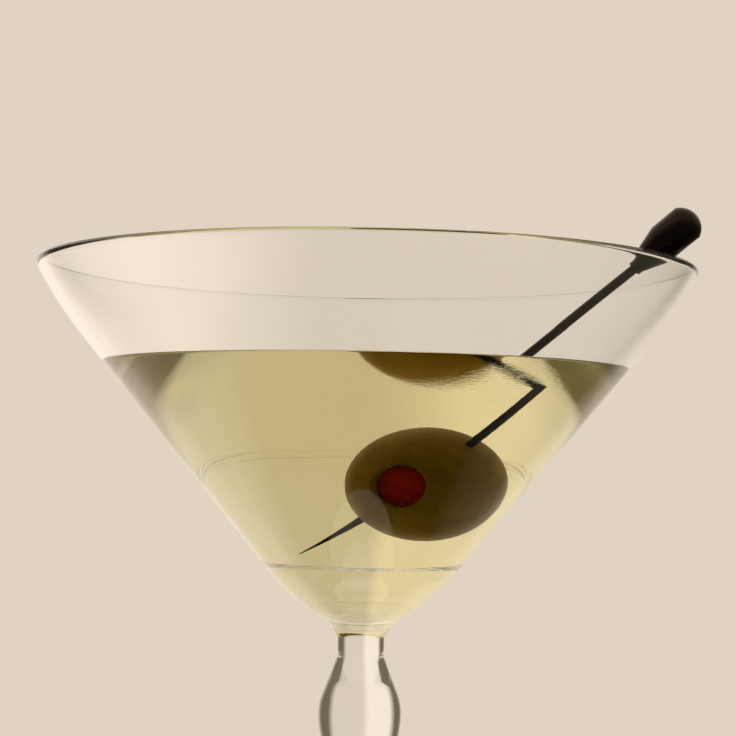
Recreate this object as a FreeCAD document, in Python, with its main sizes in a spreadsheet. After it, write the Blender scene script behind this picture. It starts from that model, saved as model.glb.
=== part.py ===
"""A filled martini glass with an olive on a cocktail pick.

The glass stands on its foot at the origin, +Z up, in millimetres.  The glass and the drink are
outlines turned about Z.  The pick leans on the lip of the glass and carries the stuffed olive.
"""
import FreeCAD, Part
import math
import os
import Sketcher

doc = FreeCAD.newDocument("MartiniCocktail")
sheet = doc.addObject("Spreadsheet::Sheet", "Sizes")

# Driving sizes in millimetres and degrees: name, value, what it is.
DRIVING = [
    ("rim_radius", 58.0, "outside of the lip"),
    ("glass_height", 172.0, "table to the top of the lip"),
    ("wall", 1.3, "thickness of the bowl's wall"),
    ("cone_angle", 39.4, "bowl's wall from the vertical"),
    ("lip_turn", 12.0, "how far the wall turns upright at the lip, in degrees"),
    ("lip_turn_radius", 67.0, "radius of that turn on the outside"),
    ("ledge_radius", 17.0, "where the inner cone ends in a ledge"),
    ("ledge_drop", 0.22, "height of the ledge"),
    ("ledge_width", 2.0, "how far the ledge narrows the inside"),
    ("cup_depth", 9.2, "ledge to the bottom of the inside"),
    ("cup_radius", 19.0, "roundness of the bottom of the inside"),
    ("bulb_radius", 34.0, "convex rounding under the bowl"),
    ("neck_fillet", 6.9, "concave rounding from the bowl into the neck"),
    ("neck_turn", 21.6, "angle at which that rounding meets the neck"),
    ("neck_above_point", 8.8, "neck above the point where the outer cone would end"),
    ("neck_ring_radius", 4.5, "where the bowl meets the neck"),
    ("neck_radius", 4.15, "narrow neck under the bowl"),
    ("neck_length", 3.2, "straight part of the neck"),
    ("knop_radius", 7.34, "widest part of the swelling in the stem"),
    ("knop_taper", 21.2, "slope of the swelling's upper side from the vertical"),
    ("knop_round", 9.0, "convex rounding from that slope to the widest part"),
    ("knop_shoulder", 3.0, "concave rounding from the neck to that slope"),
    ("knop_fall", 15.0, "widest part of the swelling to the plain stem"),
    ("knop_tail", 12.5, "concave rounding below the swelling"),
    ("stem_radius", 3.6, "plain stem"),
    ("foot_radius", 38.0, "outside of the foot"),
    ("foot_edge", 1.8, "thickness of the foot's rounded edge"),
    ("foot_slope", 5.5, "rise of the foot's top, in degrees"),
    ("foot_fillet", 18.0, "rounding from the foot into the stem"),
    ("fill_drop", 16.5, "top of the lip to the drink's surface"),
    ("pick_azimuth", -31.0, "direction in which the pick leans"),
    ("pick_slope", 36.6, "pick's rise from the horizontal"),
    ("pick_radius", 0.75, "pick's shaft"),
    ("pick_length", 73.7, "tip to the start of the head"),
    ("pick_taper", 13.5, "length of the tapered point"),
    ("pick_point", 0.08, "radius of the blunted tip"),
    ("tenon_length", 4.0, "how far the shaft goes into the head"),
    ("tenon_gap", 0.05, "clearance round the shaft in the head"),
    ("head_radius", 3.0, "widest part of the head"),
    ("head_length", 13.2, "length of the head"),
    ("head_flare", 6.6, "length of the head's flared part"),
    ("head_dome", 3.45, "roundness of the head's end"),
    ("collar_radius", 1.15, "start of the head"),
    ("collar_length", 0.7, "plain ring at the start of the head"),
    ("head_inside", 6.4, "start of the head to where it leans on the lip"),
    ("rest_gap", 0.1, "clearance between the head and the lip"),
    ("olive_radius", 11.2, "olive across"),
    ("olive_half_length", 12.7, "olive along, half of it"),
    ("olive_from_tip", 22.2, "pick's tip to the middle of the olive"),
    ("olive_offset", 2.65, "pick passes this far in front of the olive's middle"),
    ("olive_azimuth", -108.2, "direction that the stuffed end faces"),
    ("olive_slope", -10.7, "rise of that direction"),
    ("pit_radius", 4.0, "bore that the pit left"),
    ("pit_depth", 17.0, "depth of that bore from the stuffed end"),
    ("pimento_recess", 1.7, "how far the pimento sits in"),
    ("pimento_dome", 7.0, "roundness of the pimento's end"),
    ("pimento_gap", 0.1, "clearance round the pimento"),
    ("pierce_gap", 0.05, "clearance round the pick where it pierces the olive"),
]

# Sizes worked out from the driving ones: name, formula.
DERIVED = [
    ("rim_lean", "cone_angle - lip_turn"),
    ("lip_r", "rim_radius - wall / 2"),
    ("lip_z", "glass_height - wall / 2"),
    ("out_end_r", "lip_r + wall / 2 * cos(rim_lean)"),
    ("out_end_z", "lip_z - wall / 2 * sin(rim_lean)"),
    ("in_end_r", "lip_r - wall / 2 * cos(rim_lean)"),
    ("in_end_z", "lip_z + wall / 2 * sin(rim_lean)"),
    ("turn_chord", "2 * sin(lip_turn / 2)"),
    ("turn_dir_r", "turn_chord * sin(rim_lean + lip_turn / 2)"),
    ("turn_dir_z", "turn_chord * cos(rim_lean + lip_turn / 2)"),
    ("out_turn_r", "out_end_r - lip_turn_radius * turn_dir_r"),
    ("out_turn_z", "out_end_z - lip_turn_radius * turn_dir_z"),
    ("lip_turn_inner", "lip_turn_radius - wall"),
    ("in_turn_r", "in_end_r - lip_turn_inner * turn_dir_r"),
    ("in_turn_z", "in_end_z - lip_turn_inner * turn_dir_z"),
    # Neck and the two roundings that join it to the cone.
    ("cone_point_z", "out_turn_z - out_turn_r / tan(cone_angle)"),
    ("neck_z", "cone_point_z + neck_above_point"),
    ("fillet_r", "neck_ring_radius + neck_fillet * cos(neck_turn)"),
    ("fillet_z", "neck_z - neck_fillet * sin(neck_turn)"),
    ("to_fillet_r", "fillet_r - out_turn_r + bulb_radius * cos(cone_angle)"),
    ("to_fillet_z", "fillet_z - out_turn_z - bulb_radius * sin(cone_angle)"),
    ("to_fillet_along", "0 - to_fillet_r * sin(cone_angle) - to_fillet_z * cos(cone_angle)"),
    ("to_fillet_across", "to_fillet_r * cos(cone_angle) - to_fillet_z * sin(cone_angle)"),
    ("two_radii", "bulb_radius + neck_fillet"),
    ("cone_run", "to_fillet_along - sqrt(two_radii ^ 2 - to_fillet_across ^ 2)"),
    ("bulb_top_r", "out_turn_r - cone_run * sin(cone_angle)"),
    ("bulb_top_z", "out_turn_z - cone_run * cos(cone_angle)"),
    ("bulb_centre_r", "bulb_top_r - bulb_radius * cos(cone_angle)"),
    ("bulb_centre_z", "bulb_top_z + bulb_radius * sin(cone_angle)"),
    ("bulb_end_r", "bulb_centre_r + (fillet_r - bulb_centre_r) * bulb_radius / two_radii"),
    ("bulb_end_z", "bulb_centre_z + (fillet_z - bulb_centre_z) * bulb_radius / two_radii"),
    # Swelling in the stem: a straight taper between two roundings above its widest part,
    # and two arcs that meet in line below it.
    ("neck_low_z", "neck_z - neck_length"),
    ("taper_high_r", "neck_radius + knop_shoulder * (1 - cos(knop_taper))"),
    ("taper_high_z", "neck_low_z - knop_shoulder * sin(knop_taper)"),
    ("taper_low_r", "knop_radius - knop_round * (1 - cos(knop_taper))"),
    ("taper_low_z", "taper_high_z - (taper_low_r - taper_high_r) / tan(knop_taper)"),
    ("knop_z", "taper_low_z - knop_round * sin(knop_taper)"),
    ("stem_top_z", "knop_z - knop_fall"),
    ("fall_r", "knop_radius - stem_radius"),
    ("fall_radii", "(fall_r ^ 2 + knop_fall ^ 2) / 2 / fall_r"),
    ("knop_belly_low", "fall_radii - knop_tail"),
    ("tail_r", "stem_radius + knop_tail * fall_r / fall_radii"),
    ("tail_z", "stem_top_z + knop_tail * knop_fall / fall_radii"),
    # Foot.
    ("foot_edge_r", "foot_radius - foot_edge / 2"),
    ("foot_run", "foot_edge_r - stem_radius - foot_fillet * (1 - sin(foot_slope))"),
    ("foot_top_r", "foot_edge_r - foot_run"),
    ("foot_top_z", "foot_edge + foot_run * tan(foot_slope)"),
    ("stem_low_z", "foot_top_z + foot_fillet * cos(foot_slope)"),
    # Inside of the bowl.
    ("ledge_z", "in_turn_z - (in_turn_r - ledge_radius) / tan(cone_angle)"),
    ("cup_r", "ledge_radius - ledge_width"),
    ("cup_z", "ledge_z - ledge_drop"),
    ("floor_z", "cup_z - cup_depth"),
    ("fill_z", "glass_height - fill_drop"),
    ("fill_r", "in_turn_r - (in_turn_z - fill_z) * tan(cone_angle)"),
    # Pick: its head leans on the lip.
    ("lean", "head_radius + wall / 2 + rest_gap"),
    ("head_start_r", "lip_r - lean * sin(pick_slope) - head_inside * cos(pick_slope)"),
    ("head_start_z", "lip_z + lean * cos(pick_slope) - head_inside * sin(pick_slope)"),
    ("tip_r", "head_start_r - pick_length * cos(pick_slope)"),
    ("tip_z", "head_start_z - pick_length * sin(pick_slope)"),
    ("pick_end", "pick_length + tenon_length"),
    ("tenon_bore", "pick_radius + tenon_gap"),
    ("head_side", "head_length - head_dome + sqrt(head_dome ^ 2 - head_radius ^ 2)"),
    # Pimento.
    ("pimento_radius", "pit_radius - pimento_gap"),
    ("pimento_length", "pit_depth - pimento_recess - pimento_gap"),
    ("pimento_side",
     "pimento_length - pimento_dome + sqrt(pimento_dome ^ 2 - pimento_radius ^ 2)"),
]


def fill_sheet():
    """Write both lists into the sheet, one size a row."""
    for row, (name, value, meaning) in enumerate(DRIVING, start=1):
        sheet.set("A%d" % row, name)
        sheet.set("B%d" % row, repr(value))
        sheet.set("C%d" % row, meaning)
        sheet.setAlias("B%d" % row, name)
    doc.recompute()
    for row, (name, formula) in enumerate(DERIVED, start=len(DRIVING) + 2):
        sheet.set("A%d" % row, name)
        sheet.set("B%d" % row, "=" + formula)
        sheet.setAlias("B%d" % row, name)
        doc.recompute()


def size(name):
    """The sheet's value of one size, as a number."""
    return float(sheet.get(name))


def origin_plane(body, role):
    for feature in body.Origin.OriginFeatures:
        if feature.Role == role:
            return feature
    raise RuntimeError("no plane " + role)


class Outline:
    """A closed outline in a sketch on the body's XZ plane, from corner to corner.

    Corners and radii are names of sizes in the sheet, and every one is bound to its cell.
    """

    def __init__(self, body, name):
        self.sketch = body.newObject("Sketcher::SketchObject", name)
        self.sketch.AttachmentSupport = [(origin_plane(body, "XZ_Plane"), "")]
        self.sketch.MapMode = "FlatFace"
        self.corners = []
        self.edges = []

    def start(self, across, up):
        self.corners.append((across, up))
        return self

    def line(self, across, up):
        self.corners.append((across, up))
        self.edges.append(None)
        return self

    def arc(self, across, up, radius, turn):
        """An arc of the named radius; turn is +1 when it runs anticlockwise, -1 clockwise."""
        self.corners.append((across, up))
        self.edges.append((radius, turn))
        return self

    def half(self, across, up, centre_across):
        """Half a circle, anticlockwise, whose centre is at the named distance from the axis."""
        self.corners.append((across, up))
        self.edges.append((None, centre_across))
        return self

    def place(self, corner):
        return FreeCAD.Vector(self.number(corner[0]), self.number(corner[1]), 0)

    def number(self, name):
        return 0.0 if name is None else size(name)

    def close(self):
        """Add the edges, join them, and bind corners and radii to the sheet."""
        self.edges.append(None)
        count = len(self.edges)
        heads = []
        for index, edge in enumerate(self.edges):
            begin = self.place(self.corners[index])
            end = self.place(self.corners[(index + 1) % count])
            heads.append(self.add_edge(begin, end, edge))
        for index in range(count):
            here = heads[index]
            after = heads[(index + 1) % count]
            self.sketch.addConstraint(
                Sketcher.Constraint("Coincident", here[0], here[2], after[0], after[1]))
        for index, corner in enumerate(self.corners):
            self.bind_corner(heads[index], corner)
        for head, edge in zip(heads, self.edges):
            if edge is not None:
                self.bind_arc(head[0], edge)
        return self.sketch

    def add_edge(self, begin, end, edge):
        """Add one edge; gives its number and which of its ends comes first and last."""
        if edge is None:
            return self.sketch.addGeometry(Part.LineSegment(begin, end)), 1, 2
        chord = end - begin
        middle = (begin + end) / 2
        radius, turn = (chord.Length / 2, 1) if edge[0] is None else (size(edge[0]), edge[1])
        reach = math.sqrt(max(radius ** 2 - (chord.Length / 2) ** 2, 0))
        side = FreeCAD.Vector(-chord.y, chord.x, 0).normalize() * (reach * turn)
        centre = middle + side
        first, last = (begin, end) if turn > 0 else (end, begin)
        circle = Part.Circle(centre, FreeCAD.Vector(0, 0, 1), radius)
        a0 = math.atan2(first.y - centre.y, first.x - centre.x)
        a1 = math.atan2(last.y - centre.y, last.x - centre.x)
        if a1 < a0:
            a1 += 2 * math.pi
        number = self.sketch.addGeometry(Part.ArcOfCircle(circle, a0, a1))
        return (number, 1, 2) if turn > 0 else (number, 2, 1)

    def bind_arc(self, number, edge):
        """Bind an arc's radius, or the centre of half a circle, to its cell."""
        if edge[0] is None:
            name = edge[1]
            constraint = Sketcher.Constraint("DistanceX", -1, 1, number, 3, size(name))
        else:
            name = edge[0]
            constraint = Sketcher.Constraint("Radius", number, size(name))
        bound = self.sketch.addConstraint(constraint)
        self.sketch.setExpression("Constraints[%d]" % bound, "Sizes." + name)

    def bind_corner(self, head, corner):
        """Hold one corner on an axis or at its named distance from it."""
        for kind, axis, name in (("DistanceX", -2, corner[0]), ("DistanceY", -1, corner[1])):
            if name is None:
                self.sketch.addConstraint(
                    Sketcher.Constraint("PointOnObject", head[0], head[1], axis))
            else:
                number = self.sketch.addConstraint(
                    Sketcher.Constraint(kind, -1, 1, head[0], head[1], size(name)))
                self.sketch.setExpression("Constraints[%d]" % number, "Sizes." + name)


def turned(body, sketch):
    """Turn a sketch once round the body's Z axis."""
    revolution = body.newObject("PartDesign::Revolution", body.Name + "Turned")
    revolution.Profile = sketch
    revolution.ReferenceAxis = (sketch, ["V_Axis"])
    revolution.Angle = 360
    body.Tip = revolution
    return revolution


def inside_of_bowl(outline):
    """The bowl's inside from the inner cone down to the axis, for the glass and the drink."""
    outline.line("ledge_radius", "ledge_z")
    outline.line("cup_r", "cup_z")
    outline.arc(None, "floor_z", "cup_radius", -1)


def glass():
    """Foot, stem with its swelling, neck and bowl, blown and drawn as one piece of glass."""
    body = doc.addObject("PartDesign::Body", "Glass")
    outline = Outline(body, "GlassOutline")
    outline.start(None, None)
    outline.line("foot_edge_r", None)
    outline.half("foot_edge_r", "foot_edge", "foot_edge_r")
    outline.line("foot_top_r", "foot_top_z")
    outline.arc("stem_radius", "stem_low_z", "foot_fillet", -1)
    outline.line("stem_radius", "stem_top_z")
    outline.arc("tail_r", "tail_z", "knop_tail", -1)
    outline.arc("knop_radius", "knop_z", "knop_belly_low", 1)
    outline.arc("taper_low_r", "taper_low_z", "knop_round", 1)
    outline.line("taper_high_r", "taper_high_z")
    outline.arc("neck_radius", "neck_low_z", "knop_shoulder", -1)
    outline.line("neck_radius", "neck_z")
    outline.line("neck_ring_radius", "neck_z")
    outline.arc("bulb_end_r", "bulb_end_z", "neck_fillet", -1)
    outline.arc("bulb_top_r", "bulb_top_z", "bulb_radius", 1)
    outline.line("out_turn_r", "out_turn_z")
    outline.arc("out_end_r", "out_end_z", "lip_turn_radius", 1)
    outline.half("in_end_r", "in_end_z", "lip_r")
    outline.arc("in_turn_r", "in_turn_z", "lip_turn_inner", -1)
    inside_of_bowl(outline)
    turned(body, outline.close())
    body.Label = "glass"
    return body


def drink():
    """The drink fills the bowl's inside up to its level, cut round the olive and the pick."""
    body = doc.addObject("PartDesign::Body", "DrinkWhole")
    outline = Outline(body, "DrinkOutline")
    outline.start(None, "fill_z")
    outline.line("fill_r", "fill_z")
    inside_of_bowl(outline)
    turned(body, outline.close())
    garnish = doc.addObject("Part::Fuse", "DrinkGarnish")
    garnish.Base = olive_form("DrinkOlive")
    garnish.Tool = pick_rod("DrinkPick")
    cut = doc.addObject("Part::Cut", "Drink")
    cut.Base = body
    cut.Tool = garnish
    cut.Label = "drink"
    return cut


def pick_direction():
    azimuth, slope = math.radians(size("pick_azimuth")), math.radians(size("pick_slope"))
    level = math.cos(slope)
    return FreeCAD.Vector(level * math.cos(azimuth), level * math.sin(azimuth), math.sin(slope))


def pick_placement(along=0.0):
    """A frame on the pick's axis, +Z towards the head, at a distance from the tip."""
    azimuth = math.radians(size("pick_azimuth"))
    tip = FreeCAD.Vector(size("tip_r") * math.cos(azimuth), size("tip_r") * math.sin(azimuth),
                         size("tip_z"))
    direction = pick_direction()
    turn = FreeCAD.Rotation(FreeCAD.Vector(0, 0, 1), direction)
    return FreeCAD.Placement(tip + direction * along, turn)


def olive_placement():
    """A frame at the olive's middle, +Z towards the stuffed end."""
    azimuth, slope = math.radians(size("olive_azimuth")), math.radians(size("olive_slope"))
    level = math.cos(slope)
    facing = FreeCAD.Vector(level * math.cos(azimuth), level * math.sin(azimuth), math.sin(slope))
    on_pick = pick_placement(size("olive_from_tip")).Base
    sideways = FreeCAD.Vector(0, 0, 1).cross(pick_direction()).normalize()
    turn = FreeCAD.Rotation(FreeCAD.Vector(0, 0, 1), facing)
    return FreeCAD.Placement(on_pick + sideways * size("olive_offset"), turn)


def olive_form(name):
    """The olive's outer form, without its bores."""
    form = doc.addObject("Part::Ellipsoid", name)
    form.setExpression("Radius1", "Sizes.olive_half_length")
    form.setExpression("Radius2", "Sizes.olive_radius")
    form.setExpression("Radius3", "Sizes.olive_radius")
    form.Placement = olive_placement()
    return form


def pick_rod(name, gap=None):
    """A plain rod along the pick's shaft, wider by a named gap, to cut what it pierces."""
    rod = doc.addObject("Part::Cylinder", name)
    rod.setExpression("Radius", "Sizes.pick_radius" + (" + Sizes." + gap if gap else ""))
    rod.setExpression("Height", "Sizes.pick_length")
    rod.Placement = pick_placement()
    return rod


def pierced(name, label, solid):
    """A solid with the pick's hole through it."""
    cut = doc.addObject("Part::Cut", name)
    cut.Base = solid
    cut.Tool = pick_rod(name + "Pierce", "pierce_gap")
    cut.Label = label
    return cut


def olive():
    """A pitted olive: a long ball with a blind bore at one end, pierced by the pick."""
    bore = doc.addObject("Part::Cylinder", "PitBore")
    bore.setExpression("Radius", "Sizes.pit_radius")
    bore.setExpression("Height", "Sizes.pit_depth")
    into = size("olive_half_length") - size("pit_depth")
    bore.Placement = olive_placement().multiply(
        FreeCAD.Placement(FreeCAD.Vector(0, 0, into), FreeCAD.Rotation()))
    pitted = doc.addObject("Part::Cut", "PittedOlive")
    pitted.Base = olive_form("OliveForm")
    pitted.Tool = bore
    return pierced("Olive", "olive", pitted)


def pimento():
    """The red plug in the pit's bore, with a rounded end set a little way in."""
    body = doc.addObject("PartDesign::Body", "PimentoWhole")
    outline = Outline(body, "PimentoOutline")
    outline.start(None, None)
    outline.line("pimento_radius", None)
    outline.line("pimento_radius", "pimento_side")
    outline.arc(None, "pimento_length", "pimento_dome", 1)
    turned(body, outline.close())
    into = size("olive_half_length") - size("pimento_recess") - size("pimento_length")
    body.Placement = olive_placement().multiply(
        FreeCAD.Placement(FreeCAD.Vector(0, 0, into), FreeCAD.Rotation()))
    return pierced("Pimento", "pimento", body)


def pick():
    """The pick's shaft, from its tapered tip to the tenon inside the head."""
    body = doc.addObject("PartDesign::Body", "Pick")
    outline = Outline(body, "PickOutline")
    outline.start(None, None)
    outline.line("pick_point", None)
    outline.line("pick_radius", "pick_taper")
    outline.line("pick_radius", "pick_end")
    outline.line(None, "pick_end")
    turned(body, outline.close())
    body.Placement = pick_placement()
    body.Label = "pick"
    return body


def pick_head():
    """The head: a ring, a flare and a drum with a domed end, bored for the shaft's tenon."""
    body = doc.addObject("PartDesign::Body", "PickHead")
    outline = Outline(body, "HeadOutline")
    outline.start(None, "tenon_length")
    outline.line("tenon_bore", "tenon_length")
    outline.line("tenon_bore", None)
    outline.line("collar_radius", None)
    outline.line("collar_radius", "collar_length")
    outline.line("head_radius", "head_flare")
    outline.line("head_radius", "head_side")
    outline.arc(None, "head_length", "head_dome", 1)
    turned(body, outline.close())
    body.Placement = pick_placement(size("pick_length"))
    body.Label = "pick_head"
    return body


fill_sheet()
pieces = [glass(), drink(), olive(), pimento(), pick(), pick_head()]
doc.recompute()

for thing in doc.Objects:
    if "Invalid" in thing.State or "Error" in thing.State:
        raise RuntimeError("%s did not build: %s" % (thing.Name, thing.State))
for piece in pieces:
    if piece.Shape.isNull() or not piece.Shape.isValid() or not piece.Shape.Solids:
        raise RuntimeError("%s has no good shape" % piece.Label)

os.makedirs("parts", exist_ok=True)
for piece in pieces:
    piece.Shape.exportStep("parts/%s.step" % piece.Label)
    box = piece.Shape.BoundBox
    print("%-10s %9.1f mm3  solids %d  x %.1f..%.1f  y %.1f..%.1f  z %.1f..%.1f" % (
        piece.Label, piece.Shape.Volume, len(piece.Shape.Solids),
        box.XMin, box.XMax, box.YMin, box.YMax, box.ZMin, box.ZMax))
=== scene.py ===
# %% [markdown]
# # A martini with an olive on a pick
#
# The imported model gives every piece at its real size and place. This notebook puts the finished
# surfaces round it: clear glass, a pale straw drink, a stuffed olive and a dark steel pick. The
# script runs on from cell to cell, and each cell prints what it made.

# %% Load the frame
import math

import bmesh
import bpy
from mathutils import Matrix, Vector


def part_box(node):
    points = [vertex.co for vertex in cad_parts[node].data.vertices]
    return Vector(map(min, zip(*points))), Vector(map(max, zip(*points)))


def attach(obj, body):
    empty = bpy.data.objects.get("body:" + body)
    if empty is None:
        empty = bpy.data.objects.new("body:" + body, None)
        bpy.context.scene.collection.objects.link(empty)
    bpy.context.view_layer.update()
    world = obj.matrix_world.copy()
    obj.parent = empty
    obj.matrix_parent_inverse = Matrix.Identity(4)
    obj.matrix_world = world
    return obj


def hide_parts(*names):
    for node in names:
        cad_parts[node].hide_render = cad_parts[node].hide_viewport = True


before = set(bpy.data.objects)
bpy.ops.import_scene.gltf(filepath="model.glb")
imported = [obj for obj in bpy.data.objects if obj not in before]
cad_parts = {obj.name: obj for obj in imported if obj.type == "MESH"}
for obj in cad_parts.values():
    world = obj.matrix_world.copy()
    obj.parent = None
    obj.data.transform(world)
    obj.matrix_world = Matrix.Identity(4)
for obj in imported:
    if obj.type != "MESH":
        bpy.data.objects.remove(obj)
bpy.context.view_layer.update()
scene = bpy.context.scene
MM = 0.001

glass_low, glass_high = (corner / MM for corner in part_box("glass"))
drink_low, drink_high = (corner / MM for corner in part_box("drink"))
print("nodes:", ", ".join(sorted(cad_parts)))
print("glass %.1f mm high, lip %.1f mm across" % (glass_high.z, 2 * glass_high.x))

# %% [markdown]
# ## Outlines
#
# Glass is blown and turned, so its natural description is a half outline spun about the axis. Points
# are distances from the axis and heights, in millimetres. A straight stretch needs only its two
# ends, and a rounding is an arc of known radius. The arc is cut into short chords here, because a
# clear piece shows every facet as a kink in what is seen through it.

# %% Helpers for outlines
CHORD = 0.6


def arc(begin, end, radius, turn):
    """Points after `begin` up to `end` along an arc; turn is 1 anticlockwise, -1 clockwise."""
    begin, end = Vector(begin), Vector(end)
    chord = end - begin
    reach = math.sqrt(max(radius ** 2 - (chord.length / 2) ** 2, 0.0))
    centre = (begin + end) / 2 + Vector((-chord.y, chord.x)).normalized() * reach * turn
    sweep = 2 * math.asin(min(chord.length / 2 / radius, 1.0)) * turn
    steps = max(4, round(abs(sweep) * radius / CHORD))
    arm = begin - centre
    points = []
    for step in range(1, steps + 1):
        angle = sweep * step / steps
        turned = Vector((arm.x * math.cos(angle) - arm.y * math.sin(angle),
                         arm.x * math.sin(angle) + arm.y * math.cos(angle)))
        points.append(tuple(centre + turned))
    return points


def half_circle(begin, end):
    """Points of half a circle from `begin` to `end`, anticlockwise."""
    return arc(begin, end, (Vector(end) - Vector(begin)).length / 2 * 1.0001, 1)


def spun(name, outline, steps=240, crease=40.0):
    """Spin an outline of (distance, height) points once round Z into a closed mesh."""
    bm = bmesh.new()
    corners = [bm.verts.new((r * MM, 0.0, z * MM)) for r, z in outline]
    edges = [bm.edges.new(pair) for pair in zip(corners, corners[1:])]
    bmesh.ops.spin(bm, geom=corners + edges, cent=(0, 0, 0), axis=(0, 0, 1),
                   angle=math.tau, steps=steps, use_merge=True)
    bmesh.ops.remove_doubles(bm, verts=bm.verts, dist=1e-7)
    bmesh.ops.recalc_face_normals(bm, faces=bm.faces)
    return finished(name, bm, crease)


def finished(name, bm, crease=40.0):
    """Turn a bmesh into a smooth-shaded object that keeps its sharp corners."""
    mesh = bpy.data.meshes.new(name)
    bm.to_mesh(mesh)
    bm.free()
    mesh.shade_smooth()
    mesh.set_sharp_from_angle(angle=math.radians(crease))
    piece = bpy.data.objects.new(name, mesh)
    scene.collection.objects.link(piece)
    return piece


# %% [markdown]
# ## Shader maths in plain Python
#
# Materials are node graphs. A small class wraps a node's output, so that `mask * 0.5 + 0.2` adds the
# Math nodes that say so, and one method adds any other node with its settings and sockets. Nodes
# could be added and linked one by one, but a finish is then hard to read back as the sum it is.

# %% Sockets and node graphs
class Value:
    """The output of a node, with arithmetic that adds Math nodes."""

    def __init__(self, graph, socket):
        self.graph = graph
        self.socket = socket

    def maths(self, operation, *values):
        sockets = dict(enumerate(values))
        return self.graph.add("ShaderNodeMath", {"operation": operation}, sockets)

    def __add__(self, other):
        return self.maths("ADD", self, other)

    def __radd__(self, other):
        return self.maths("ADD", other, self)

    def __sub__(self, other):
        return self.maths("SUBTRACT", self, other)

    def __rsub__(self, other):
        return self.maths("SUBTRACT", other, self)

    def __mul__(self, other):
        return self.maths("MULTIPLY", self, other)

    def __rmul__(self, other):
        return self.maths("MULTIPLY", other, self)


class Graph:
    """A node tree that is built up call by call."""

    def __init__(self, tree):
        self.tree = tree
        self.tree.nodes.clear()

    def add(self, kind, settings=None, sockets=None, output=0):
        """Add a node: first its settings, then the values or links of its sockets."""
        node = self.tree.nodes.new(kind)
        for name, setting in (settings or {}).items():
            if name == "stops":
                self.set_stops(node.color_ramp, setting)
            else:
                setattr(node, name, setting)
        for key, value in (sockets or {}).items():
            if isinstance(value, Value):
                self.tree.links.new(value.socket, node.inputs[key])
            else:
                node.inputs[key].default_value = value
        return Value(self, node.outputs[output]) if node.outputs else node

    @staticmethod
    def set_stops(ramp, stops):
        """Give a colour ramp its stops, as (position, colour) pairs."""
        while len(ramp.elements) < len(stops):
            ramp.elements.new(1.0)
        for element, (position, colour) in zip(ramp.elements, stops):
            element.position = position
            element.color = colour

    def ramp(self, value, stops, output=0):
        return self.add("ShaderNodeValToRGB", {"stops": stops}, {0: value}, output)

    def axes(self, vector):
        """The X, Y and Z of a vector."""
        node = self.add("ShaderNodeSeparateXYZ", sockets={0: vector}).socket.node
        return [Value(self, output) for output in node.outputs]

    def mix(self, factor, first, second):
        """Mix two colours."""
        return self.add("ShaderNodeMix", {"data_type": "RGBA"}, {0: factor, 6: first, 7: second}, 2)


class Finish(Graph):
    """A material with one Principled shader."""

    def __init__(self, name, sockets=None, volume=None):
        self.material = bpy.data.materials.new(name)
        self.material.use_nodes = True
        super().__init__(self.material.node_tree)
        self.place = self.add("ShaderNodeTexCoord", output=3)
        self.shader = self.add("ShaderNodeBsdfPrincipled", sockets=sockets)
        ends = {"Surface": self.shader}
        if volume:
            ends["Volume"] = self.add("ShaderNodeVolumeAbsorption", sockets=volume)
        self.add("ShaderNodeOutputMaterial", sockets=ends)

    def noise(self, scale, detail, **more):
        """Noise on the finish's own place, so that it stays with the piece."""
        return self.add("ShaderNodeTexNoise", sockets={
            "Vector": self.place, "Scale": scale, "Detail": detail, **more})

    def bump(self, height, strength, distance):
        """Raise the surface by a height pattern, for the light only."""
        self.drive("Normal", self.add("ShaderNodeBump", sockets={
            "Strength": strength, "Distance": distance, "Height": height}))

    def drive(self, socket, value):
        self.tree.links.new(value.socket, self.shader.socket.node.inputs[socket])

    def on(self, *objects):
        for thing in objects:
            thing.data.materials.clear()
            thing.data.materials.append(self.material)


def grey(level):
    """A grey of one level, as a ramp wants it."""
    return (level, level, level, 1.0)


def place_piece(piece, slot, *nodes):
    """Attach a finished piece to the root, hide the nodes it stands for, and print its triangle
    count and material slot.
    """
    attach(piece, "root")
    if nodes:
        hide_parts(*nodes)
    faces = sum(len(face.vertices) - 2 for face in piece.data.polygons)
    print("%-14s %6d triangles, %s" % (piece.name, faces, slot))


print("helpers ready: outlines, node sums, finishes")

# %% [markdown]
# ## The glass
#
# The bowl is a thin cone with a solid, rounded bottom, drawn down to a narrow neck. Below it the
# stem swells into one round knop and runs down to a wide foot. It could be lathed in one go, and
# that is what the spin does. The wall's true thickness matters more than anything else here: light
# bends at both of its sides, and the dark lines at the rim and in the stem come from that alone.

# %% Sizes of the glass
RIM_RADIUS = glass_high.x
GLASS_TOP = glass_high.z
WALL = 1.3
CONE_ANGLE = math.radians(39.4)
LIP_TURN = math.radians(12.0)
LIP_TURN_RADIUS = 67.0
LEDGE_RADIUS = 17.0
LEDGE_WIDTH = 2.0
LEDGE_DROP = 0.22
CUP_DEPTH = 9.2
CUP_RADIUS = 19.0
NECK_ABOVE_POINT = 8.8
NECK_RING = 4.5
NECK_RADIUS = 4.15
NECK_LENGTH = 3.2
KNOP_RADIUS = 7.34
STEM_RADIUS = 3.6
FOOT_RADIUS = 38.0

LIP_LEAN = CONE_ANGLE - LIP_TURN
LIP_CENTRE = Vector((RIM_RADIUS - WALL / 2, GLASS_TOP - WALL / 2))
LIP_ACROSS = Vector((math.cos(LIP_LEAN), -math.sin(LIP_LEAN))) * WALL / 2
TURN_DOWN = Vector((math.sin(LIP_LEAN + LIP_TURN / 2), math.cos(LIP_LEAN + LIP_TURN / 2)))
TURN_DOWN *= 2 * math.sin(LIP_TURN / 2)

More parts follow.
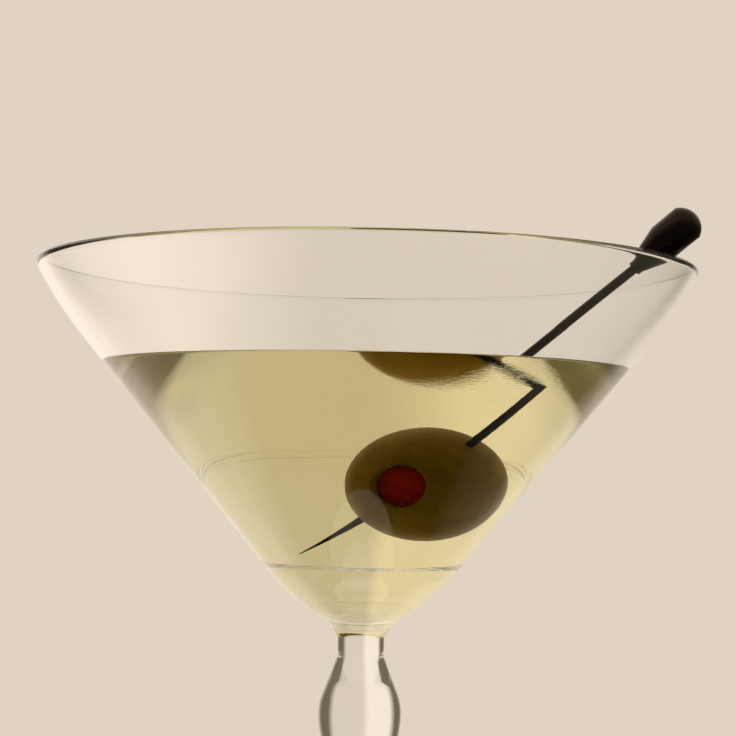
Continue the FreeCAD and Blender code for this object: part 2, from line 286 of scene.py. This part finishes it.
outer_lip = LIP_CENTRE + LIP_ACROSS
inner_lip = LIP_CENTRE - LIP_ACROSS
outer_turn = outer_lip - TURN_DOWN * LIP_TURN_RADIUS
inner_turn = inner_lip - TURN_DOWN * (LIP_TURN_RADIUS - WALL)
LEDGE_Z = inner_turn.y - (inner_turn.x - LEDGE_RADIUS) / math.tan(CONE_ANGLE)
NECK_Z = outer_turn.y - outer_turn.x / math.tan(CONE_ANGLE) + NECK_ABOVE_POINT
print("neck at %.1f mm, ledge inside the bowl at %.1f mm" % (NECK_Z, LEDGE_Z))


def on_inner_cone(height):
    """The inside of the conical wall at a height."""
    return (inner_turn.x - (inner_turn.y - height) * math.tan(CONE_ANGLE), height)


# %% [markdown]
# The half outline is one closed line. It starts under the foot, climbs the stem, swells into the
# knop, narrows at the neck, opens into the bowl, turns over the lip and comes down inside. Below the
# cone a small ledge runs round inside the bowl, and a shallow cup fills the middle. A stem and a
# bowl could be two pieces joined later, but the real glass is drawn in one, and a join would show.

# %% Outline of the glass
FOOT_EDGE, FOOT_SLOPE, FOOT_ROUNDING = 1.8, math.radians(5.5), 18.0
SHOULDER, KNOP_ROUND, KNOP_TAPER = 3.0, 9.0, math.radians(21.2)
KNOP_TAIL, KNOP_TAIL_ROUND = 15.0, 12.5
FILLET, BULB, NECK_TURN = 6.9, 34.0, math.radians(21.6)


def s_curve(begin, end, first_radius, first_turn):
    """Two arcs in line between two upright stretches."""
    begin, end = Vector(begin), Vector(end)
    across = abs(end.x - begin.x)
    radii = (across ** 2 + (end.y - begin.y) ** 2) / 2 / across
    middle = begin.lerp(end, first_radius / radii)
    first = arc(begin, middle, first_radius, first_turn)
    return first + arc(middle, end, radii - first_radius, -first_turn)


def foot_and_low_stem():
    """The flat foot, its rounded edge and its slope up into the stem."""
    edge_r = FOOT_RADIUS - FOOT_EDGE / 2
    run = edge_r - STEM_RADIUS - FOOT_ROUNDING * (1 - math.sin(FOOT_SLOPE))
    top = (edge_r - run, FOOT_EDGE + run * math.tan(FOOT_SLOPE))
    stem_low = (STEM_RADIUS, top[1] + FOOT_ROUNDING * math.cos(FOOT_SLOPE))
    points = [(0.0, 0.0), (edge_r, 0.0)]
    points += half_circle((edge_r, 0.0), (edge_r, FOOT_EDGE))
    return points + [top] + arc(top, stem_low, FOOT_ROUNDING, -1)


def knop_and_neck():
    """The stem's swelling and the straight neck above it."""
    neck_low = NECK_Z - NECK_LENGTH
    sine, shortfall = math.sin(KNOP_TAPER), 1 - math.cos(KNOP_TAPER)
    widening = KNOP_RADIUS - NECK_RADIUS - (SHOULDER + KNOP_ROUND) * shortfall
    knop_z = neck_low - (SHOULDER + KNOP_ROUND) * sine - widening / math.tan(KNOP_TAPER)
    stem_top, knop = (STEM_RADIUS, knop_z - KNOP_TAIL), (KNOP_RADIUS, knop_z)
    taper_low = (KNOP_RADIUS - KNOP_ROUND * shortfall, knop_z + KNOP_ROUND * sine)
    taper_top = (NECK_RADIUS + SHOULDER * shortfall, neck_low - SHOULDER * sine)
    points = [stem_top] + s_curve(stem_top, knop, KNOP_TAIL_ROUND, -1)
    points += arc(knop, taper_low, KNOP_ROUND, 1) + [taper_top]
    points += arc(taper_top, (NECK_RADIUS, neck_low), SHOULDER, -1)
    return points + [(NECK_RADIUS, NECK_Z), (NECK_RING, NECK_Z)]


def under_bowl():
    """The concave rounding from the neck and the convex one into the cone."""
    fillet_centre = Vector((NECK_RING + FILLET * math.cos(NECK_TURN),
                            NECK_Z - FILLET * math.sin(NECK_TURN)))
    down = Vector((-math.sin(CONE_ANGLE), -math.cos(CONE_ANGLE)))
    inward = Vector((-math.cos(CONE_ANGLE), math.sin(CONE_ANGLE)))
    reach = fillet_centre - outer_turn - inward * BULB
    run = reach.dot(down) - math.sqrt((FILLET + BULB) ** 2 - reach.dot(inward) ** 2)
    bulb_top = outer_turn + down * run
    bulb_centre = bulb_top + inward * BULB
    meeting = bulb_centre.lerp(fillet_centre, BULB / (FILLET + BULB))
    points = arc((NECK_RING, NECK_Z), meeting, FILLET, -1)
    return points + arc(meeting, bulb_top, BULB, 1)


def inside_bottom():
    """The inside below the cone: a small ledge and a round cup."""
    ledge = (LEDGE_RADIUS, LEDGE_Z)
    cup = (LEDGE_RADIUS - LEDGE_WIDTH, LEDGE_Z - LEDGE_DROP)
    return [ledge, cup] + arc(cup, (0.0, cup[1] - CUP_DEPTH), CUP_RADIUS, -1)


outline = foot_and_low_stem() + knop_and_neck() + under_bowl() + [tuple(outer_turn)]
outline += arc(outer_turn, outer_lip, LIP_TURN_RADIUS, 1)
outline += half_circle(outer_lip, inner_lip)
outline += arc(inner_lip, inner_turn, LIP_TURN_RADIUS - WALL, -1)
outline += inside_bottom()
print("glass outline: %d points" % len(outline))

# %% [markdown]
# Clear glass is a dielectric: it takes light in, bends it by its index and lets it out again. A
# Principled shader with full transmission does that. A thin see-through shader would be quicker, but
# it doesn't bend light, and the bend is what draws the rim and the stem. Real glass is never
# perfectly even, so a very faint ripple bends the normals, as the blower's tool leaves it.

# %% Glass piece and its finish
clear_glass = Finish("clear_glass", {
    "Base Color": (0.985, 0.99, 0.985, 1.0), "Transmission Weight": 1.0, "IOR": 1.5})
drawn = clear_glass.noise(22.0, 1.0)
clear_glass.bump(drawn, strength=0.02, distance=0.001)
clear_glass.drive("Roughness", clear_glass.ramp(drawn, [(0.3, grey(0.0)), (0.8, grey(0.012))]))

glass = spun("martini_glass", outline)
clear_glass.on(glass)
place_piece(glass, "clear_glass", "glass")

# %% [markdown]
# ## Where the pick lies
#
# The pick leans in the bowl: its knob rests on the lip and its wire goes down through the drink.
# Its line is set by a direction and a slope, and everything on it is placed along that line. It
# comes before the drink because the drink's surface is ruffled where the wire goes through it.

# %% Line of the pick
PICK_AZIMUTH = math.radians(-31.0)
PICK_SLOPE = math.radians(36.6)
PICK_RADIUS = 0.75
PICK_LENGTH = 73.7
HEAD_RADIUS = 3.0
HEAD_INSIDE = 6.4
REST_GAP = 0.1

outward = Vector((math.cos(PICK_AZIMUTH), math.sin(PICK_AZIMUTH), 0.0))
pick_axis = outward * math.cos(PICK_SLOPE) + Vector((0, 0, 1)) * math.sin(PICK_SLOPE)
# From the lip's centre line to the knob's own, with the knob just clear of the glass.
lean = HEAD_RADIUS + WALL / 2 + REST_GAP
along, rise = math.cos(PICK_SLOPE), math.sin(PICK_SLOPE)
head_start = outward * (LIP_CENTRE.x - lean * rise - HEAD_INSIDE * along)
head_start.z = LIP_CENTRE.y + lean * along - HEAD_INSIDE * rise
pick_tip = head_start - pick_axis * PICK_LENGTH
print("pick from", tuple(round(part, 1) for part in pick_tip),
      "to", tuple(round(part, 1) for part in head_start))


def standing(base, direction):
    """A matrix that puts a piece made round Z at a base point along a direction."""
    return Matrix.Translation(base * MM) @ direction.to_track_quat("Z", "Y").to_matrix().to_4x4()


# %% [markdown]
# ## The drink
#
# The drink fills the bowl up to its level and creeps up the wall in a small meniscus. If its side
# stopped exactly at the glass, or just short of it, a film of air would flash at the join. So it
# reaches a tenth of a millimetre into the wall. The olive and the pick aren't cut out of it here:
# they are solid to the light, so what is inside them never shows.

# %% Shape of the drink
LEVEL = drink_high.z
INTO_WALL = 0.1
MENISCUS_RISE = 0.12
MENISCUS_REACH = 0.2
MENISCUS_STEPS = 40


def drink_outline():
    """The level, the meniscus, the side just inside the wall and the bottom, from the axis out."""
    wall_r = on_inner_cone(LEVEL)[0]
    top = []
    for step in range(MENISCUS_STEPS + 1):
        inward = 5 * MENISCUS_REACH * (1 - step / MENISCUS_STEPS) ** 2
        rise = MENISCUS_RISE * math.exp(-inward / MENISCUS_REACH)
        top.append((wall_r + rise * math.tan(CONE_ANGLE) - inward, LEVEL + rise))
    contact = top[-1]
    into = Vector((math.cos(CONE_ANGLE), -math.sin(CONE_ANGLE))) * INTO_WALL
    side = [(contact[0] + into.x, contact[1] + into.y)]
    bottom = [(r + into.x if r > 0.0 else 0.0, z + into.y) for r, z in inside_bottom()]
    return [(0.0, LEVEL)] + top + side + bottom


drink = spun("martini_drink", drink_outline())
entry = head_start - pick_axis * ((head_start.z - LEVEL) / pick_axis.z)
print("the pick meets the surface at", tuple(round(part, 1) for part in entry))

# %% [markdown]
# The drink's colour isn't on its surface. It comes from how far light travels through it, so a
# Volume Absorption node gives it, and the thick middle of the bowl is deeper than its edges, as in
# the real drink. The wire also ruffles the surface where it goes through. Small waves could be
# modelled, but they are a tenth of a millimetre high, so a bump that fades with distance does it.

# %% Finish of the drink
RUFFLED_FOR = 40.0
SURFACE_DEPTH = 0.5

straw_drink = Finish("straw_drink", {
    "Base Color": (1.0, 1.0, 1.0, 1.0), "Transmission Weight": 1.0, "IOR": 1.345,
    "Roughness": 0.0}, {"Color": (0.80, 0.72, 0.12, 1.0), "Density": 12.0})
from_entry = straw_drink.add("ShaderNodeVectorMath", {"operation": "DISTANCE"},
                             {0: straw_drink.place, 1: tuple(entry * MM)}, 1)
ruffled = straw_drink.ramp(from_entry * (1 / (RUFFLED_FOR * MM)), [
    (0.0, grey(0.30)), (0.25, grey(0.18)), (0.6, grey(0.02))])
height = straw_drink.axes(straw_drink.place)[2]
at_top = straw_drink.ramp(height * (1 / MM) - (LEVEL - SURFACE_DEPTH), [
    (0.0, grey(0.0)), (0.4, grey(1.0))])
ripples = straw_drink.noise(900.0, 3.0, Roughness=0.6)
straw_drink.bump(ripples, strength=at_top * ruffled, distance=0.0004)
straw_drink.on(drink)
place_piece(drink, "straw_drink", "drink")

# %% [markdown]
# ## The pick's finish and pieces
#
# The real pick is a dark steel wire drawn to a point, with a turned knob pressed on its top end.
# Both are turned shapes, so both are spun round Z and then stood along the pick's own line. A
# cylinder could be stretched to a point, but its outline says the point's length outright. The steel
# is very dark, so what reads is its soft sheen: a low base colour, full metal, and a roughness that
# wanders a little, as on a brushed wire.

# %% Pick pieces
POINT_LENGTH = 13.5
COLLAR_RADIUS, COLLAR_HEIGHT = 1.15, 0.7
HEAD_FLARE, HEAD_SHOULDER, HEAD_LENGTH, HEAD_DOME = 6.6, 11.4, 13.2, 3.45

dark_steel = Finish("dark_steel", {
    "Base Color": (0.022, 0.017, 0.012, 1.0), "Metallic": 1.0})
brushing = dark_steel.noise(700.0, 4.0)
dark_steel.drive("Roughness", brushing * 0.2 + 0.2)

shaft = spun("pick_shaft", [(0.0, 0.0), (0.08, 0.02), (PICK_RADIUS, POINT_LENGTH),
                            (PICK_RADIUS, PICK_LENGTH), (0.0, PICK_LENGTH)], 48)
shaft.data.transform(standing(pick_tip, pick_axis))
dark_steel.on(shaft)
place_piece(shaft, "dark_steel", "pick")

head_outline = [(0.0, 0.0), (COLLAR_RADIUS, 0.0), (COLLAR_RADIUS, COLLAR_HEIGHT),
                (HEAD_RADIUS, HEAD_FLARE), (HEAD_RADIUS, HEAD_SHOULDER)]
head_outline += arc(head_outline[-1], (0.0, HEAD_LENGTH), HEAD_DOME, 1)
head = spun("pick_knob", head_outline, 64)
head.data.transform(standing(head_start, pick_axis))
dark_steel.on(head)
place_piece(head, "dark_steel", "pick_head")

# %% [markdown]
# ## The olive
#
# A pitted olive is nearly a spheroid with a round hole bored in one end. The wire goes through it
# off centre, and its stuffed end faces forward. It could be sculpted from a sphere with a cut hole,
# but a spun outline gives the rounded lip of the hole for free. It is spun round Z and then stood
# along the line that its stuffed end faces.

# %% Shape of the olive
OLIVE_RADIUS = 11.2
OLIVE_HALF = 12.7
OLIVE_FROM_TIP = 22.2
OLIVE_ASIDE = 2.65
OLIVE_STEPS = 60
PIT_RADIUS = 4.0
PIT_DEPTH = 6.0
MOUTH_ROUNDING = 0.9
OLIVE_AZIMUTH = math.radians(-108.2)
OLIVE_SLOPE = math.radians(-10.7)

sideways = Vector((0, 0, 1)).cross(pick_axis).normalized()
olive_middle = pick_tip + pick_axis * OLIVE_FROM_TIP + sideways * OLIVE_ASIDE
facing = Vector((math.cos(OLIVE_SLOPE) * math.cos(OLIVE_AZIMUTH),
                 math.cos(OLIVE_SLOPE) * math.sin(OLIVE_AZIMUTH), math.sin(OLIVE_SLOPE)))


def olive_outline():
    """The spheroid from its closed end to the hole, the hole's rounded lip, and the hole."""
    mouth = OLIVE_HALF * math.sqrt(1 - (PIT_RADIUS / OLIVE_RADIUS) ** 2)
    points = [(0.0, -OLIVE_HALF)]
    start = -math.pi / 2
    stop = math.acos((PIT_RADIUS + 0.5) / OLIVE_RADIUS)
    for step in range(1, OLIVE_STEPS + 1):
        angle = start + (stop - start) * step / OLIVE_STEPS
        points.append((OLIVE_RADIUS * math.cos(angle), OLIVE_HALF * math.sin(angle)))
    points += arc(points[-1], (PIT_RADIUS, mouth - 0.7), MOUTH_ROUNDING, 1)
    points += [(PIT_RADIUS, OLIVE_HALF - PIT_DEPTH), (0.0, OLIVE_HALF - PIT_DEPTH)]
    return points


olive = spun("olive_body", olive_outline(), 128)
olive.data.transform(standing(olive_middle, facing))
print("olive middle at", tuple(round(part, 1) for part in olive_middle))

# %% [markdown]
# A cured olive is a yellowish brown-green, a little blotched, with fine pores. Two noises do that:
# a coarse one moves the colour between two close tones, and a fine one raises a shallow bump. Its
# index is low, because a surface under liquid reflects far less than one in air.

# %% Finish of the olive
UNDER_LIQUID = 1.12

olive_skin = Finish("olive_skin", {"Roughness": 0.35, "IOR": UNDER_LIQUID})
mottle = olive_skin.noise(220.0, 6.0, Roughness=0.65)
olive_skin.drive("Base Color", olive_skin.ramp(mottle, [
    (0.35, (0.31, 0.175, 0.004, 1.0)), (0.65, (0.43, 0.26, 0.007, 1.0))]))
pores = olive_skin.noise(1400.0, 3.0)
olive_skin.bump(pores, strength=0.3, distance=0.0001)
olive_skin.on(olive)
place_piece(olive, "olive_skin", "olive")

# %% [markdown]
# ## The stuffing
#
# A strip of red pepper fills the hole. It is a short plug with a domed end that stands a little back
# from the olive's skin. The flesh is dark red and stringy, so one noise with some distortion gives
# both its tone and its bump, and the strings and the colour agree.

# %% Pimento plug and its finish
PLUG_RADIUS = 3.9
PLUG_BACK, PLUG_EDGE, PLUG_TOP = 5.5, 2.9, 1.7
PLUG_DOME = 7.0

plug_outline = [(0.0, OLIVE_HALF - PLUG_BACK), (PLUG_RADIUS, OLIVE_HALF - PLUG_BACK),
                (PLUG_RADIUS, OLIVE_HALF - PLUG_EDGE)]
plug_outline += arc(plug_outline[-1], (0.0, OLIVE_HALF - PLUG_TOP), PLUG_DOME, 1)
pimento = spun("pimento_plug", plug_outline, 96)
pimento.data.transform(standing(olive_middle, facing))

pimento_flesh = Finish("pimento_flesh", {"Roughness": 0.3, "IOR": UNDER_LIQUID})
fibres = pimento_flesh.noise(500.0, 5.0, Roughness=0.7, Distortion=1.5)
pimento_flesh.drive("Base Color", pimento_flesh.ramp(fibres, [
    (0.35, (0.48, 0.010, 0.001, 1.0)), (0.65, (0.85, 0.030, 0.003, 1.0))]))
pimento_flesh.bump(fibres, strength=0.5, distance=0.0002)
pimento_flesh.on(pimento)
place_piece(pimento, "pimento_flesh", "pimento")

# %% [markdown]
# ## The surroundings
#
# Clear glass has no look of its own: it shows what stands round it. The piece stands before a wide
# beige backdrop. Dark flags on both sides draw the dark shapes in the knop and in the corners of the
# drink, and the backdrop is brighter on the left, which the bowl, as a lens, shows on its right.
# Cards and lamps could be modelled, but a world that depends on direction alone is lighter and
# never gets in the way. Rays from the camera see plain beige.

# %% World: what stands round the glass
BEIGE = (0.752, 0.651, 0.539, 1.0)
BRIGHT_BEIGE = (1.02, 0.885, 0.74, 1.0)
DARK = (0.16, 0.135, 0.085, 1.0)
DARK_BELOW = (0.012, 0.010, 0.006, 1.0)

world = bpy.data.worlds.new("studio")
scene.world = world
world.use_nodes = True
sky = Graph(world.node_tree)
direction = sky.add("ShaderNodeTexCoord", output=0)
dir_x, dir_y, dir_z = sky.axes(direction)
# Each direction part runs from -1 to 1, and a ramp reads 0 to 1.
across, ahead, upward = dir_x * 0.5 + 0.5, dir_y * 0.5 + 0.5, dir_z * 0.5 + 0.5

flag = sky.ramp(across, [
    (0.14, grey(1.0)), (0.22, grey(0.0)), (0.73, grey(0.0)), (0.80, grey(1.0))])
low = sky.ramp(upward, [(0.60, grey(1.0)), (0.72, grey(0.0))])
behind_camera = sky.ramp(ahead, [(0.28, grey(1.0)), (0.42, grey(0.0))])
overhead = sky.ramp(dir_z, [(0.45, grey(0.0)), (0.65, grey(1.0))])
shade = 1.0 - (1.0 - flag * low) * (1.0 - behind_camera * (1.0 - overhead))
on_the_left = sky.ramp(across, [(0.42, grey(1.0)), (0.48, grey(0.0))])
underneath = sky.ramp(upward, [(0.08, grey(1.0)), (0.16, grey(0.0))])
through = sky.mix(shade, sky.mix(on_the_left, BEIGE, BRIGHT_BEIGE), DARK)
through = sky.mix(underneath, through, DARK_BELOW)
print("backdrop", BEIGE[:3], "brighter on the left", BRIGHT_BEIGE[:3])

# %% [markdown]
# Matt surfaces are lit by another light than the glass shows. A backdrop lights the olive from
# behind and from the sides, and little comes from the front, so its edges are lighter than its
# middle. Light Path tells the two uses of the world apart.

# %% World: light on matt surfaces
FROM_BEHIND = (1.3, 1.12, 0.95, 1.0)
FROM_FRONT = (0.10, 0.085, 0.065, 1.0)

path = sky.add("ShaderNodeLightPath").socket.node
is_camera = Value(sky, path.outputs["Is Camera Ray"])
diffuse_depth = Value(sky, path.outputs["Diffuse Depth"])
is_matt = diffuse_depth.maths("MINIMUM", diffuse_depth, 1.0)
behind = sky.ramp(ahead, [(0.42, grey(0)), (0.64, grey(1))])
lit = sky.mix(behind, FROM_FRONT, FROM_BEHIND)
colour = sky.mix(is_matt, sky.mix(is_camera, through, BEIGE), lit)
sky.add("ShaderNodeOutputWorld", sockets={0: sky.add("ShaderNodeBackground", sockets={0: colour})})
print("world nodes:", len(world.node_tree.nodes))

# %% [markdown]
# ## The floor
#
# The glass stands on a table of the backdrop's beige that goes on without an edge. A disc that gives
# off that same beige blends into the world, with a soft dark ring round the foot as contact shadow.
# There are two discs: a small one that the foot may bend light from, and a wide one that only the
# camera sees, because a wide lit floor would put a veil over the drink and the olive.

# %% Floor
FLOOR_DISCS = (("floor_near", 0.05, 0.0002, True), ("floor_wide", 0.45, 0.0004, False))
SHADOW_SPAN = 0.1

floor_finish = Finish("floor_finish", {
    "Base Color": (0.0, 0.0, 0.0, 1.0), "Roughness": 1.0, "Specular IOR Level": 0.0,
    "Emission Strength": 1.0})
from_axis = floor_finish.add("ShaderNodeVectorMath", {"operation": "LENGTH"},
                             {0: floor_finish.place}, 1)
rim_shadow = floor_finish.ramp(from_axis * (1 / SHADOW_SPAN), [
    (0.30, grey(0.62)), (0.39, grey(0.72)), (0.55, grey(0.97)), (0.9, grey(1.0))])
floor_finish.drive("Emission Color", floor_finish.add("ShaderNodeMix", {
    "data_type": "RGBA", "blend_type": "MULTIPLY"}, {0: 1.0, 6: rim_shadow, 7: BEIGE}, 2))


def floor_disc(name, radius, depth, through_glass):
    """A disc just under the table's level."""
    bm = bmesh.new()
    bmesh.ops.create_circle(bm, cap_ends=True, segments=128, radius=radius)
    bmesh.ops.translate(bm, verts=bm.verts, vec=(0, 0, -depth))
    floor = finished(name, bm)
    floor_finish.on(floor)
    floor.visible_glossy = False
    floor.visible_diffuse = False
    floor.visible_transmission = through_glass
    print("%s of radius %.2f m" % (name, radius))


for disc in FLOOR_DISCS:
    floor_disc(*disc)

# %% [markdown]
# ## The camera
#
# The camera stands close, a little below the lip and looking slightly up, so that the far lip shows
# above the near one and the surface of the drink is seen from just below. The view is turned by
# hand: forward, right and up are worked out and make the three columns of its matrix. Angles in
# Blender's own order would do too, but pitch, roll and yaw are easier to think in.

# %% Camera
CAMERA_AWAY = 258.4
CAMERA_BELOW_LIP = 28.08
PITCH, ROLL, YAW = math.radians(2.36), math.radians(1.02), math.radians(0.09)

lens = bpy.data.cameras.new("camera")
lens.sensor_width = 36.0
lens.lens = 70.62
lens.clip_start = 0.01
camera = bpy.data.objects.new("camera", lens)
scene.collection.objects.link(camera)
scene.camera = camera

forward = Vector((math.sin(YAW) * math.cos(PITCH), math.cos(YAW) * math.cos(PITCH), math.sin(PITCH)))
level_right = Vector((math.cos(YAW), -math.sin(YAW), 0.0))
level_up = level_right.cross(forward)
right = math.cos(ROLL) * level_right + math.sin(ROLL) * level_up
up = math.cos(ROLL) * level_up - math.sin(ROLL) * level_right
eye = Vector((0.0, -CAMERA_AWAY, GLASS_TOP - CAMERA_BELOW_LIP))
turned = Matrix((right, up, -forward)).transposed().to_4x4()
camera.matrix_world = Matrix.Translation(eye * MM) @ turned
print("camera %.0f mm away, %.1f mm below the lip" % (CAMERA_AWAY, CAMERA_BELOW_LIP))

# %% [markdown]
# A thin clear wall guides light: a ray can turn back inside it many times before it leaves. Such a
# turn is a reflection, so it counts against the glossy limit and not the transmission limit. With
# the usual glossy limit of 4 a dark line crosses the drink where it meets the far wall, and the arc
# low in the bowl comes out too dark. Raising the other limits alone doesn't change that.

# %% Colour and light paths
BOUNCES = 64

scene.view_settings.view_transform = "Standard"
scene.cycles.max_bounces = BOUNCES
scene.cycles.transmission_bounces = BOUNCES
scene.cycles.glossy_bounces = BOUNCES
scene.cycles.transparent_max_bounces = 16
print("light may turn", BOUNCES, "times")
